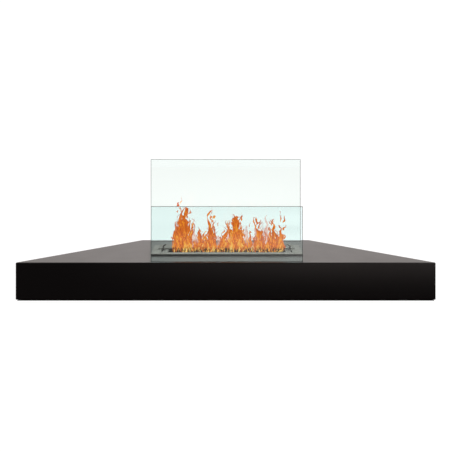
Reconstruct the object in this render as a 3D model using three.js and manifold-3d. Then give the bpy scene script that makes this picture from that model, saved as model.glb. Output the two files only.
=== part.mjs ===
// Corner fireplace: a flat steel hearth for a room's corner, with a bioethanol burner, its sliding
// shutter and two glass panes. Millimetres, +Z up. The origin is the bottom centre of the whole;
// +X runs along the wide front, +Y goes back into the corner.
import * as THREE from 'three';
import { mergeVertices } from 'three/addons/utils/BufferGeometryUtils.js';
import Module from 'manifold-3d';

const wasm = await Module();
wasm.setup();

// ---- Clearances -------------------------------------------------------------------------------
const seat = 0.3;                 // between pieces that rest on or in each other
const threadClearance = 0.3;      // round a screw, stud or foot
const through = 5;                // how far a cutting tool runs past the face it cuts

// ---- Hearth casing ----------------------------------------------------------------------------
const hearthWidth = 1100;         // along the front face, corner to corner
const hearthDepth = 294;          // front face to the short back; the sides run at 45 degrees
const hearthHeight = 100;
const casingSheet = 2;
const foldInner = 0.5;            // inside radius of the sheet's folds
const lipWidth = 17;              // bottom return lip, from the outer face
const lipMitre = 5;               // gap where two lips would meet in a corner
const baseSheet = 2;
const baseSetback = 1.5;          // base panel's edge, behind the outer faces

// ---- Wall hanging: hanger plates behind windows in the wall sides ------------------------------
const hangerSpacing = 200;        // between the two hanger plates of one wall side
const hangerSheet = 2.5;
const hangerMargin = 12;          // plate past its window, all round
const windowMargin = 7.5;         // window past the keyhole's entry
const keyholeHeight = 47;         // centre of the round entry, above the base
const keyholeEntryRadius = 9.5;
const keyholeSlotRadius = 4.75;
const keyholeRise = 22;           // from the entry's centre to the slot's upper centre

// ---- Base screws and clinch nuts --------------------------------------------------------------
const baseScrewRadius = 2;
const baseScrewEnd = 2.2;         // thread past the nut
const screwHeadRadius = 3.8;
const frontScrewInset = 170;      // from the sharp front corners
const backScrewInset = 86;        // from the blunt back corners
const nutHeight = 3.2;
const nutAcrossFlats = 7;

// ---- Glass ------------------------------------------------------------------------------------
const glassThickness = 4;
const glassArris = 0.6;           // ground edge
const frontGlassWidth = 400;
const frontGlassAbove = 146;      // above the hearth's top
const rearGlassMargin = 44;       // pane's end to the hearth's slanted edge
const rearGlassAbove = 251;
const rearGlassInset = 17;        // pane's middle, in front of the back face
const glassInsertion = 22;        // below the hearth's top
const glassSlotGap = 1;           // between glass and hearth sheet, all round
const fireOffset = 3;             // burner and front pane stand this far right of the middle

// ---- Rails and gaskets ------------------------------------------------------------------------
const gasketWall = 1.2;
const railSheet = 1.5;
const railOverhang = 6;           // rail past each end of its pane
const railFlange = 15;            // flange that the studs pass through
const frontRailGap = 2.7;         // front rail to the front sheet
const studRadius = 2;
const studEnd = 3;                // thread past the nut
const studInset = 50;             // stud from the rail's end

// ---- Burner -----------------------------------------------------------------------------------
const burnerInset = 82;           // plate's front edge, behind the front face
const plateSheet = 2;
const plateCorner = 2;
const plateOverhang = 4;          // plate past the cradle's rim
const plateMargin = 15;           // plate past the shutter's ends
const plateBackMargin = 4;        // plate past the open shutter
const fireSlotWidth = 330;
const fireSlotDepth = 42;
const fireSlotCorner = 3;
const collarSheet = 1.5;
const collarDrop = 10;            // collar below the plate
const collarGap = 2;              // collar to the tank's wall
const cradleSheet = 1.5;
const cradleRim = 8;              // rim outside the cradle's walls
const cradleClearance = 1;        // cradle walls to the hearth's cut-out
const tankSheet = 1.5;
const tankDrop = 72;              // tank's underside below the hearth's top
const tankFlange = 3.5;
const tankClearance = 1.5;        // tank's flange to the cradle's wall
const tankAir = 10.5;             // under the tank, above the cradle's floor
const screenDrop = 7;             // screen below the collar
const screenSheet = 1;
const screenSlotLength = 11;
const screenSlotWidth = 3;
const screenPitch = 16;
const screenRowPitch = 17;
const screenMargin = 12;

// ---- Shutter ----------------------------------------------------------------------------------
const shutterEndLap = 30;         // shutter past the slot's ends
const shutterFrontLap = 3;        // closed: shutter past the slot's front edge
const shutterBackLap = 5;         // closed: shutter past the slot's back edge
const shutterRest = 0.5;          // open: shutter's front edge behind the slot
const shutterSheet = 1.5;
const shutterCorner = 2;
const handleMargin = 13.5;        // foot from the shutter's end
const handleInset = 6;            // foot from the shutter's front edge
const handleRadius = 2;
const handleStand = 3;            // straight part above the shutter
const handleBend = 4;             // centre-line radius of the bend
const handleLean = 60;            // degrees that the tip leans to the middle
const handleTip = 6;              // straight part after the bend
const footRadius = 1.5;
const washerRadius = 4.5;
const washerThickness = 0.8;
const footNutHeight = 2.4;
const footNutAcrossFlats = 5.5;
const footEnd = 1;                // thread past the nut

// ---- Derived sizes and places -----------------------------------------------------------------
const frontY = -hearthDepth / 2;
const backY = hearthDepth / 2;
const halfWidth = hearthWidth / 2;
const halfWidthAt = (y) => halfWidth - (y - frontY);
const backWidth = 2 * halfWidthAt(backY);
const sideLength = hearthDepth * Math.SQRT2;
const topZ = hearthHeight;
const sheetUnderZ = topZ - casingSheet;
const foldRadius = foldInner + casingSheet;
const halfCorner = Math.PI / 8;                   // half of the 45 degrees between front and side
const lipReliefFront = lipWidth / Math.tan(halfCorner) + lipMitre;
const lipReliefBack = lipWidth * Math.tan(halfCorner) + lipMitre;
const shellZ = baseSheet + seat;                  // lower edge of the folded shell
const lipTopZ = shellZ + casingSheet;

const gasketInner = glassThickness / 2 + seat;
const gasketOuter = gasketInner + gasketWall;
const railInner = gasketOuter + seat;
const railOuter = railInner + railSheet;
const frontGlassY = frontY + casingSheet + frontRailGap + railOuter;
const rearGlassY = backY - rearGlassInset;
const rearGlassWidth = 2 * (halfWidthAt(rearGlassY) - rearGlassMargin);
const glassZ = topZ - glassInsertion;
const gasketFloorZ = glassZ - seat - gasketWall;
const railFloorZ = gasketFloorZ - seat;
const railZ = railFloorZ - railSheet;
const railTopZ = sheetUnderZ - seat;

const shutterWidth = fireSlotWidth + 2 * shutterEndLap;
const shutterDepth = fireSlotDepth + shutterFrontLap + shutterBackLap;
const shutterTravel = fireSlotDepth + shutterRest + shutterFrontLap;
const tankToRimEdge = tankSheet + tankFlange + tankClearance + cradleSheet + cradleRim;
const fireSlotMargin = collarSheet + collarGap + tankToRimEdge + plateOverhang;
const plateWidth = shutterWidth + 2 * plateMargin;
const plateDepth = fireSlotMargin + fireSlotDepth + shutterRest + shutterDepth + plateBackMargin;
const rimWidth = plateWidth - 2 * plateOverhang;
const rimDepth = plateDepth - 2 * plateOverhang;
const cradleWidth = rimWidth - 2 * cradleRim;
const cradleDepth = rimDepth - 2 * cradleRim;
const cradleDrop = tankDrop + tankAir + cradleSheet;
const tankInnerWidth = fireSlotWidth + 2 * (collarSheet + collarGap);
const tankInnerDepth = rimDepth - 2 * tankToRimEdge;

const rimZ = topZ + seat;
const rimTopZ = rimZ + cradleSheet;
const plateZ = rimTopZ + seat;
const plateTopZ = plateZ + plateSheet;
const plateFrontY = frontY + burnerInset;
const burnerY = plateFrontY + plateDepth / 2;
const slotFrontY = plateFrontY + fireSlotMargin;
const slotBackY = slotFrontY + fireSlotDepth;
const shutterZ = plateTopZ + seat;
const shutterTopZ = shutterZ + shutterSheet;
const shutterFrontY = slotBackY + shutterRest;
const handleY = shutterFrontY + handleInset;

// ---- Materials --------------------------------------------------------------------------------
const finish = (color, roughness, metalness, extra = {}) =>
  new THREE.MeshStandardMaterial({ color, roughness, metalness, ...extra });

const blackPaint = finish(0x161415, 0.35, 0);
const stainless = finish(0x9a9d98, 0.35, 1);
const darkSteel = finish(0x4a4846, 0.45, 1);
const zincSteel = finish(0xb4b6b4, 0.4, 1);
const glass = finish(0xeaf6f3, 0.02, 0, { transparent: true, opacity: 0.3 });
const silicone = finish(0x2a2a2a, 0.7, 0);
const whiteWool = finish(0xe8e4da, 0.95, 0);

// ---- Solids -----------------------------------------------------------------------------------
function solidOf(geometry) {
  const bare = geometry.clone();
  for (const name of Object.keys(bare.attributes)) {
    if (name !== 'position') bare.deleteAttribute(name);
  }
  const merged = mergeVertices(bare, 1e-4);
  return new wasm.Manifold(new wasm.Mesh({
    numProp: 3,
    vertProperties: new Float32Array(merged.attributes.position.array),
    triVerts: new Uint32Array(merged.index.array),
  }));
}

function geometryOf(solid) {
  const mesh = solid.getMesh();
  const geometry = new THREE.BufferGeometry();
  geometry.setAttribute('position', new THREE.BufferAttribute(new Float32Array(mesh.vertProperties), 3));
  geometry.setIndex(new THREE.BufferAttribute(new Uint32Array(mesh.triVerts), 1));
  geometry.computeVertexNormals();
  return geometry;
}

const join = (solids) => solids.reduce((whole, piece) => whole.add(piece));
const cut = (solid, tools) => tools.reduce((whole, tool) => whole.subtract(tool), solid);

// a box from its low corner to its high corner
function block([x0, y0, z0], [x1, y1, z1]) {
  const box = new THREE.BoxGeometry(x1 - x0, y1 - y0, z1 - z0);
  return solidOf(box.translate((x0 + x1) / 2, (y0 + y1) / 2, (z0 + z1) / 2));
}

// an upright rod or hole tool
function rod(x, y, z0, z1, radius, sides = 20) {
  const shape = new THREE.CylinderGeometry(radius, radius, z1 - z0, sides);
  return solidOf(shape.rotateX(Math.PI / 2).translate(x, y, (z0 + z1) / 2));
}

function roundedRectangle(x0, y0, x1, y1, r) {
  const shape = new THREE.Shape();
  shape.moveTo(x0 + r, y0);
  shape.lineTo(x1 - r, y0);
  shape.absarc(x1 - r, y0 + r, r, -Math.PI / 2, 0);
  shape.lineTo(x1, y1 - r);
  shape.absarc(x1 - r, y1 - r, r, 0, Math.PI / 2);
  shape.lineTo(x0 + r, y1);
  shape.absarc(x0 + r, y1 - r, r, Math.PI / 2, Math.PI);
  shape.lineTo(x0, y0 + r);
  shape.absarc(x0 + r, y0 + r, r, Math.PI, 1.5 * Math.PI);
  return shape;
}

// a plan outline raised from z0 to z1
function raised(shape, z0, z1, curveSegments = 5) {
  const flat = new THREE.ExtrudeGeometry(shape, { depth: z1 - z0, bevelEnabled: false, curveSegments });
  return solidOf(flat.translate(0, 0, z0));
}

// a section drawn in depth and height, run along X from x0 to x1
function alongX(shape, x0, x1, curveSegments = 5) {
  const run = new THREE.ExtrudeGeometry(shape, { depth: x1 - x0, bevelEnabled: false, curveSegments });
  const turn = new THREE.Matrix4().makeBasis(
    new THREE.Vector3(0, 1, 0), new THREE.Vector3(0, 0, 1), new THREE.Vector3(1, 0, 0));
  return solidOf(run.applyMatrix4(turn).translate(x0, 0, 0));
}

const outline = (points) => new THREE.Shape(points.map(([x, y]) => new THREE.Vector2(x, y)));

// the hearth's plan, drawn in by a setback on every face
function planOutline(setback) {
  const front = halfWidth - setback / Math.tan(halfCorner);
  const back = backWidth / 2 - setback * Math.tan(halfCorner);
  return outline([
    [-front, frontY + setback], [front, frontY + setback], [back, backY - setback], [-back, backY - setback],
  ]);
}

const assembly = new THREE.Group();

function place(name, solid, material, position = [0, 0, 0]) {
  const mesh = new THREE.Mesh(geometryOf(solid), material);
  mesh.name = name;
  mesh.position.set(...position);
  assembly.add(mesh);
}

// ---- Fastener places --------------------------------------------------------------------------
const lipMiddle = (lipWidth + casingSheet) / 2;
const wallScrew = { x: halfWidthAt(0) - lipMiddle / Math.SQRT2, y: -lipMiddle / Math.SQRT2 };
const baseScrewPlaces = {
  front_left: [frontScrewInset - halfWidth, frontY + lipMiddle],
  front_right: [halfWidth - frontScrewInset, frontY + lipMiddle],
  wall_left: [-wallScrew.x, wallScrew.y],
  wall_right: [wallScrew.x, wallScrew.y],
  back_left: [backScrewInset - backWidth / 2, backY - lipMiddle],
  back_right: [backWidth / 2 - backScrewInset, backY - lipMiddle],
};

// each rail: its pane's middle, width and the side that its flange turns to
const rails = {
  front: { x: fireOffset, y: frontGlassY, width: frontGlassWidth, above: frontGlassAbove },
  rear: { x: 0, y: rearGlassY, width: rearGlassWidth, above: rearGlassAbove },
};
const flangeSide = (rail) => -Math.sign(rail.y);
const railEnd = (rail) => rail.width / 2 + railOverhang;
const studPlaces = (rail) => [-1, 1].map((side) => [
  rail.x + side * (railEnd(rail) - studInset),
  rail.y + flangeSide(rail) * (railOuter + railFlange / 2),
]);

// ---- Hearth casing: top sheet, front fold and bottom return lip, with the welded studs ---------
function hearthCasing() {
  const section = new THREE.Shape();
  section.moveTo(backY, topZ);
  section.lineTo(frontY + foldRadius, topZ);
  section.absarc(frontY + foldRadius, topZ - foldRadius, foldRadius, Math.PI / 2, Math.PI);
  section.lineTo(frontY, shellZ + foldRadius);
  section.absarc(frontY + foldRadius, shellZ + foldRadius, foldRadius, Math.PI, 1.5 * Math.PI);
  section.lineTo(frontY + lipWidth, shellZ);
  section.lineTo(frontY + lipWidth, lipTopZ);
  section.lineTo(frontY + foldRadius, lipTopZ);
  section.absarc(frontY + foldRadius, lipTopZ + foldInner, foldInner, 1.5 * Math.PI, Math.PI, true);
  section.lineTo(frontY + casingSheet, sheetUnderZ - foldInner);
  section.absarc(frontY + foldRadius, sheetUnderZ - foldInner, foldInner, Math.PI, Math.PI / 2, true);
  section.lineTo(backY, sheetUnderZ);

  const folded = alongX(section, -halfWidth, halfWidth);
  const trimmed = folded.intersect(raised(planOutline(0), 0, topZ + through));
  const reliefs = [-1, 1].map((side) => {
    const middle = side * (halfWidth + (through - lipReliefFront) / 2);
    const reach = (through + lipReliefFront) / 2;
    return block([middle - reach, frontY + foldRadius, 0],
      [middle + reach, frontY + lipWidth + through, lipTopZ + foldInner]);
  });

  const cutoutX = cradleWidth / 2 + cradleClearance;
  const cutoutY = cradleDepth / 2 + cradleClearance;
  const cutout = block(
    [fireOffset - cutoutX, burnerY - cutoutY, sheetUnderZ - through],
    [fireOffset + cutoutX, burnerY + cutoutY, topZ + through]);
  const slotY = glassThickness / 2 + glassSlotGap;
  const glassSlots = Object.values(rails).map(({ x, y, width }) => block(
    [x - width / 2 - glassSlotGap, y - slotY, sheetUnderZ - through],
    [x + width / 2 + glassSlotGap, y + slotY, topZ + through]));
  const screwHoles = ['front_left', 'front_right'].map((name) => {
    const [x, y] = baseScrewPlaces[name];
    return rod(x, y, 0, lipTopZ + through, baseScrewRadius + threadClearance);
  });
  const studs = Object.values(rails).flatMap(studPlaces).map(([x, y]) =>
    rod(x, y, railTopZ - railSheet - seat - nutHeight - studEnd, topZ - casingSheet / 2, studRadius, 12));
  return join([cut(trimmed, [...reliefs, cutout, ...glassSlots, ...screwHoles]), ...studs]);
}

// ---- Wall sides and back side -----------------------------------------------------------------
// An upright sheet with a bottom lip: it runs along X, its outer face is at y = 0 and its lip turns
// to -Y. The lip is relieved at both ends.
function lippedSheet(length, reliefStart, reliefEnd) {
  const section = new THREE.Shape();
  section.moveTo(0, sheetUnderZ - seat);
  section.lineTo(-casingSheet, sheetUnderZ - seat);
  section.lineTo(-casingSheet, lipTopZ + foldInner);
  section.absarc(-foldRadius, lipTopZ + foldInner, foldInner, 0, -Math.PI / 2, true);
  section.lineTo(-lipWidth, lipTopZ);
  section.lineTo(-lipWidth, shellZ);
  section.lineTo(-foldRadius, shellZ);
  section.absarc(-foldRadius, shellZ + foldRadius, foldRadius, -Math.PI / 2, 0);
  const relief = (x0, x1) =>
    block([x0, -lipWidth - through, 0], [x1, -foldRadius, lipTopZ + foldInner]);
  const sheet = alongX(section, 0, length);
  return cut(sheet, [relief(-through, reliefStart), relief(length - reliefEnd, length + through)]);
}

const lipHole = (x) => rod(x, -lipMiddle, 0, lipTopZ + through, baseScrewRadius + threadClearance);

// turns a sheet so that its outer face looks outward and its start lies at (x, y)
function standing(sheet, x, y, outward) {
  const up = new THREE.Vector3(0, 0, 1);
  const along = new THREE.Vector3().crossVectors(outward, up);
  const turn = new THREE.Matrix4().makeBasis(along, outward, up).setPosition(x, y, 0);
  return solidOf(geometryOf(sheet).applyMatrix4(turn));
}

const wallSides = {
  left: {
    start: [-halfWidth, frontY],
    outward: new THREE.Vector3(-1, 1, 0).normalize(),
    reliefs: [lipReliefFront, lipReliefBack],
    hangers: ['front', 'back'],
  },
  right: {
    start: [backWidth / 2, backY],
    outward: new THREE.Vector3(1, 1, 0).normalize(),
    reliefs: [lipReliefBack, lipReliefFront],
    hangers: ['back', 'front'],
  },
};

// where the two hanger plates sit along a wall side
const hangerPlaces = [-1, 1].map((side) => (sideLength + side * hangerSpacing) / 2);

// a rectangle about a keyhole, past its round entry by a margin all round
function aboutKeyhole(x, margin, y0, y1) {
  const reach = keyholeEntryRadius + margin;
  return block([x - reach, y0, keyholeHeight - reach],
    [x + reach, y1, keyholeHeight + keyholeRise + keyholeSlotRadius + margin]);
}

// a wall side ends clear of the front sheet and of the back side
function wallSide({ start, outward, reliefs }) {
  const windows = hangerPlaces.map((x) => aboutKeyhole(x, windowMargin, -foldRadius - through, through));
  const sheet = cut(lippedSheet(sideLength, ...reliefs), [...windows, lipHole(sideLength / 2)]);
  const between = block([-hearthWidth, frontY + foldRadius + seat, 0],
    [hearthWidth, backY - foldRadius - seat, hearthHeight]);
  return standing(sheet, ...start, outward).intersect(between);
}

function backSide() {
  const holes = [backScrewInset, backWidth - backScrewInset].map(lipHole);
  const sheet = cut(lippedSheet(backWidth, lipReliefBack, lipReliefBack), holes);
  return standing(sheet, -backWidth / 2, backY, new THREE.Vector3(0, 1, 0));
}

// a plate with one keyhole: the screw's head goes in at the round entry and the hearth drops, so
// that the screw ends at the top of the slot
function hangerPlate(x, { start, outward }) {
  const outerY = -casingSheet - seat;
  const plate = aboutKeyhole(x, windowMargin + hangerMargin, outerY - hangerSheet, outerY);
  const hole = (z, radius) => {
    const tool = new THREE.CylinderGeometry(radius, radius, 4 * through, 24);
    return solidOf(tool.translate(x, 0, z));
  };
  const slot = block([x - keyholeSlotRadius, -2 * through, keyholeHeight],
    [x + keyholeSlotRadius, 2 * through, keyholeHeight + keyholeRise]);
  const keyhole = [
    hole(keyholeHeight, keyholeEntryRadius), slot, hole(keyholeHeight + keyholeRise, keyholeSlotRadius),
  ];
  return standing(cut(plate, keyhole), ...start, outward);
}

// ---- Base panel, its screws and clinch nuts ---------------------------------------------------
function turned(points, sides = 20) {
  const profile = points.map(([r, z]) => new THREE.Vector2(r, z));
  return solidOf(new THREE.LatheGeometry(profile, sides).rotateX(Math.PI / 2));
}

function basePanel() {
  const hole = turned([
    [0, -through], [screwHeadRadius + threadClearance, -through], [screwHeadRadius + threadClearance, 0],
    [baseScrewRadius + threadClearance, baseSheet], [baseScrewRadius + threadClearance, baseSheet + through],
    [0, baseSheet + through],
  ]);
  const holes = Object.values(baseScrewPlaces).map(([x, y]) => hole.translate([x, y, 0]));
  return cut(raised(planOutline(baseSetback), 0, baseSheet), holes);
}

function baseScrew() {
  const end = lipTopZ + seat + nutHeight + baseScrewEnd;
  return turned([
    [0, seat], [screwHeadRadius, seat], [baseScrewRadius, baseSheet], [baseScrewRadius, end], [0, end],
  ]);
}

function nut(acrossFlats, height, bore) {
  const corner = acrossFlats / Math.sqrt(3);
  const hexagon = new THREE.CylinderGeometry(corner, corner, height, 6);
  const body = solidOf(hexagon.rotateX(Math.PI / 2).translate(0, 0, height / 2));
  return body.subtract(rod(0, 0, -through, height + through, bore));
}

// ---- Rails and gaskets ------------------------------------------------------------------------
function rail(spec) {
  const side = flangeSide(spec);
  const points = [
    [-railOuter, railTopZ], [-railOuter, railZ], [railOuter, railZ], [railOuter, railTopZ - railSheet],
    [railOuter + railFlange, railTopZ - railSheet], [railOuter + railFlange, railTopZ],
    [railInner, railTopZ], [railInner, railFloorZ], [-railInner, railFloorZ], [-railInner, railTopZ],
  ];
  const section = outline(points.map(([s, z]) => [spec.y + side * s, z]));
  const holes = studPlaces(spec).map(([x, y]) =>
    rod(x, y, railZ, railTopZ + through, studRadius + threadClearance));
  return cut(alongX(section, spec.x - railEnd(spec), spec.x + railEnd(spec)), holes);
}

function gasket(spec) {
  const points = [
    [-gasketOuter, railTopZ], [-gasketOuter, gasketFloorZ], [gasketOuter, gasketFloorZ],
    [gasketOuter, railTopZ], [gasketInner, railTopZ], [gasketInner, gasketFloorZ + gasketWall],
    [-gasketInner, gasketFloorZ + gasketWall], [-gasketInner, railTopZ],
  ];
  const section = outline(points.map(([s, z]) => [spec.y + s, z]));
  return alongX(section, spec.x - spec.width / 2, spec.x + spec.width / 2);
}

function pane(spec) {
  const height = glassInsertion + spec.above;
  const half = spec.width / 2;
  const shape = outline([[-half, 0], [half, 0], [half, height], [-half, height]]);
  const sheet = new THREE.ExtrudeGeometry(shape, {
    depth: glassThickness - 2 * glassArris,
    bevelThickness: glassArris,
    bevelSize: glassArris,
    bevelOffset: -glassArris,
    bevelSegments: 1,
  });
  const middle = glassThickness / 2 - glassArris;
  return solidOf(sheet.rotateX(Math.PI / 2).translate(spec.x, spec.y + middle, glassZ));
}

// ---- Burner cradle ----------------------------------------------------------------------------
// a rectangle about the burner's middle, from its width and depth
const burnerRectangle = (width, depth, corner) => roundedRectangle(
  fireOffset - width / 2, burnerY - depth / 2, fireOffset + width / 2, burnerY + depth / 2, corner);

function burnerCradle() {
  const floorZ = topZ - cradleDrop;
  const corner = 2 * cradleSheet;
  const body = raised(burnerRectangle(cradleWidth, cradleDepth, corner), floorZ, rimTopZ);
  const rim = raised(burnerRectangle(rimWidth, rimDepth, plateCorner), rimZ, rimTopZ);
  const hollow = burnerRectangle(cradleWidth - 2 * cradleSheet, cradleDepth - 2 * cradleSheet, cradleSheet);
  return body.add(rim).subtract(raised(hollow, floorZ + cradleSheet, rimTopZ + through));
}

// ---- Burner plate, tank, wool and screen ------------------------------------------------------
const handlePlaces = [-1, 1].map((side) => fireOffset + side * (shutterWidth / 2 - handleMargin));
const guideHalfWidth = footRadius + threadClearance;

function fireSlot(grow) {
  const halfSlot = fireSlotWidth / 2 + grow;
  return roundedRectangle(fireOffset - halfSlot, slotFrontY - grow, fireOffset + halfSlot, slotBackY + grow,
    fireSlotCorner + grow);
}

function burnerPlate() {
  const sheet = raised(burnerRectangle(plateWidth, plateDepth, plateCorner), plateZ, plateTopZ);
  const collar = raised(fireSlot(collarSheet), plateZ - collarDrop, plateTopZ);
  const guides = handlePlaces.flatMap((x) => {
    const ends = [handleY - shutterTravel, handleY];
    const tools = ends.map((y) => rod(x, y, plateZ - through, plateTopZ + through, guideHalfWidth, 16));
    const run = block([x - guideHalfWidth, ends[0], plateZ - through],
      [x + guideHalfWidth, ends[1], plateTopZ + through]);
    return [...tools, run];
  });
  const slot = raised(fireSlot(0), plateZ - collarDrop - through, plateTopZ + through);
  return cut(sheet.add(collar), [slot, ...guides]);
}

const tankZ = topZ - tankDrop;
const tankFloorZ = tankZ + tankSheet;
const flangeZ = plateZ - seat - tankSheet;
const woolZ = tankFloorZ + seat;
const screenZ = plateZ - collarDrop - screenDrop - screenSheet;

// a rectangle that fits the tank's inside, drawn in by a gap
const tankRectangle = (grow, corner) =>
  burnerRectangle(tankInnerWidth + 2 * grow, tankInnerDepth + 2 * grow, corner);

function fuelTank() {
  const body = raised(tankRectangle(tankSheet, 2 * tankSheet), tankZ, plateZ - seat);
  const flange = raised(burnerRectangle(tankInnerWidth + 2 * tankSheet,
    tankInnerDepth + 2 * (tankSheet + tankFlange), tankSheet), flangeZ, plateZ - seat);
  return body.add(flange).subtract(raised(tankRectangle(0, tankSheet), tankFloorZ, plateZ + through));
}

const ceramicWool = () => raised(tankRectangle(-seat, tankSheet), woolZ, screenZ - seat);

function woolScreen() {
  const sheet = raised(tankRectangle(-seat, tankSheet), screenZ, screenZ + screenSheet);
  const columns = Math.floor((tankInnerWidth - 2 * screenMargin + screenPitch) / screenPitch);
  const rows = Math.floor((tankInnerDepth - 2 * screenMargin + screenRowPitch) / screenRowPitch);
  const slots = [];
  for (let column = 0; column < columns; column += 1) {
    for (let row = 0; row < rows; row += 1) {
      const x = fireOffset + (column - (columns - 1) / 2) * screenPitch;
      const y = burnerY + (row - (rows - 1) / 2) * screenRowPitch;
      slots.push(block([x - screenSlotWidth / 2, y - screenSlotLength / 2, screenZ - through],
        [x + screenSlotWidth / 2, y + screenSlotLength / 2, screenZ + through]));
    }
  }
  return cut(sheet, slots);
}

// ---- Shutter and its handles ------------------------------------------------------------------
const washerZ = plateZ - seat - washerThickness;
const footNutZ = washerZ - seat - footNutHeight;

function shutterPlate() {
  const shape = roundedRectangle(fireOffset - shutterWidth / 2, shutterFrontY,
    fireOffset + shutterWidth / 2, shutterFrontY + shutterDepth, shutterCorner);
  const holes = handlePlaces.map((x) =>
    rod(x, handleY, shutterZ - through, shutterTopZ + through, footRadius + threadClearance));
  return cut(raised(shape, shutterZ, shutterTopZ), holes);
}

// A bent rod: it stands on the shutter, leans to the middle and ends in a dome. Its thinner foot
// goes down through the shutter and runs in the burner plate's guide slot.
function handle(x) {
  const lean = THREE.MathUtils.degToRad(handleLean);
  const inward = -Math.sign(x - fireOffset);
  const point = (s, z) => new THREE.Vector3(inward * s, 0, z);
  const bendEnd = point(handleBend * (1 - Math.cos(lean)), handleStand + handleBend * Math.sin(lean));
  const tip = bendEnd.clone().add(point(handleTip * Math.sin(lean), handleTip * Math.cos(lean)));
  const path = new THREE.CurvePath();
  path.add(new THREE.LineCurve3(point(0, 0), point(0, handleStand)));
  const crown = point(0, handleStand + handleBend * Math.tan(lean / 2));
  path.add(new THREE.QuadraticBezierCurve3(point(0, handleStand), crown, bendEnd));
  path.add(new THREE.LineCurve3(bendEnd, tip));
  const section = new THREE.Shape().absarc(0, 0, handleRadius, 0, 2 * Math.PI);
  const bar = solidOf(new THREE.ExtrudeGeometry(section, { steps: 12, curveSegments: 6, extrudePath: path }));
  const dome = solidOf(new THREE.SphereGeometry(handleRadius, 12, 8).translate(tip.x, tip.y, tip.z));
  const standZ = shutterTopZ + seat;
  const foot = rod(0, 0, footNutZ - footEnd - standZ, handleStand / 2, footRadius, 14);
  return join([bar, dome, foot]);
}

function washer() {
  const disc = rod(0, 0, 0, washerThickness, washerRadius, 24);
  return disc.subtract(rod(0, 0, -through, through, footRadius + threadClearance, 16));
}

// ---- Assembly ---------------------------------------------------------------------------------
place('hearth_casing', hearthCasing(), blackPaint);
for (const [side, spec] of Object.entries(wallSides)) {
  place(`${side}_wall_side`, wallSide(spec), blackPaint);
  hangerPlaces.forEach((x, index) => {
    place(`${side}_${spec.hangers[index]}_hanger`, hangerPlate(x, spec), zincSteel);
  });
}
place('back_side', backSide(), blackPaint);
place('base_panel', basePanel(), blackPaint);
for (const [name, [x, y]] of Object.entries(baseScrewPlaces)) {
  place(`base_screw_${name}`, baseScrew(), zincSteel, [x, y, 0]);
  place(`clinch_nut_${name}`, nut(nutAcrossFlats, nutHeight, baseScrewRadius + threadClearance), zincSteel,
    [x, y, lipTopZ + seat]);
}

for (const [name, spec] of Object.entries(rails)) {
  place(`${name}_rail`, rail(spec), darkSteel);
  place(`${name}_gasket`, gasket(spec), silicone);
  place(`${name}_glass`, pane(spec), glass);
  studPlaces(spec).forEach(([x, y], index) => {
    const nutZ = railTopZ - railSheet - seat - nutHeight;
    place(`${name}_rail_nut_${['left', 'right'][index]}`,
      nut(nutAcrossFlats, nutHeight, studRadius + threadClearance), zincSteel, [x, y, nutZ]);
  });
}

place('burner_cradle', burnerCradle(), darkSteel);
place('burner_plate', burnerPlate(), stainless);
place('fuel_tank', fuelTank(), stainless);
place('ceramic_wool', ceramicWool(), whiteWool);
place('wool_screen', woolScreen(), stainless);

place('shutter_plate', shutterPlate(), stainless);
handlePlaces.forEach((x, index) => {
  const side = ['left', 'right'][index];
  place(`${side}_handle`, handle(x), stainless, [x, handleY, shutterTopZ + seat]);
  place(`${side}_guide_washer`, washer(), zincSteel, [x, handleY, washerZ]);
  place(`${side}_guide_nut`, nut(footNutAcrossFlats, footNutHeight, footRadius + threadClearance), zincSteel,
    [x, handleY, footNutZ]);
});

export default assembly;
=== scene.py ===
"""Corner fireplace: the finishes, the fine metal and glass edges, the flames and the studio."""

import math
import random

import bmesh
import bpy
from mathutils import Matrix, Vector, noise


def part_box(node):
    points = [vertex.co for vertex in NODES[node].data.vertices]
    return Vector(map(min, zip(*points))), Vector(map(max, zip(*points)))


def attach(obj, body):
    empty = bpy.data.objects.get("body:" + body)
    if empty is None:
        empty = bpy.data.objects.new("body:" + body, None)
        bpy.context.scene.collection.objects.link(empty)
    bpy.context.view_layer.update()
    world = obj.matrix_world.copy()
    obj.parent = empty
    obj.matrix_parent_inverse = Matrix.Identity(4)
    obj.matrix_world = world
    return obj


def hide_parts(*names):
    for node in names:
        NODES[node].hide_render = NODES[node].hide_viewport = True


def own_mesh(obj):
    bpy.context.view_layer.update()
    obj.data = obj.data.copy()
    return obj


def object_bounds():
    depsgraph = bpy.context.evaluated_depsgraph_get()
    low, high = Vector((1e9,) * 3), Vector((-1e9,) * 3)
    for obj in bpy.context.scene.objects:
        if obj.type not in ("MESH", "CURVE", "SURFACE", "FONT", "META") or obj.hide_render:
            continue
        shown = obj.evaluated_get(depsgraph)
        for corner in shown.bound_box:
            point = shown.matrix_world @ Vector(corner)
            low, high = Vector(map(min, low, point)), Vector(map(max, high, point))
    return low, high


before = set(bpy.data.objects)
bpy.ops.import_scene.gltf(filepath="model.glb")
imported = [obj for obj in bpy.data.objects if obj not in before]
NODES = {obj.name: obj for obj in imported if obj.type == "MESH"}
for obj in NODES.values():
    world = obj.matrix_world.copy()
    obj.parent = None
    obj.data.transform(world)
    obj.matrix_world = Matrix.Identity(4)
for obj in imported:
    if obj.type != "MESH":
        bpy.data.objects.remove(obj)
CAD_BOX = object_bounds()

bl_info = {
    "name": "Corner Fireplace",
    "version": (1, 0, 0),
    "blender": (4, 5, 0),
    "location": "View3D > Sidebar > Fireplace",
    "description": "Builds a corner fireplace's finishes, panes, burner and flames round its frame",
    "category": "Add Mesh",
}

MM = 0.001


# ---- Sizes and colours a user would change -----------------------------------------------------


def length(name, description, default):
    return bpy.props.FloatProperty(
        name=name, description=description, default=default, min=0.0, unit="LENGTH", precision=5
    )


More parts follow.
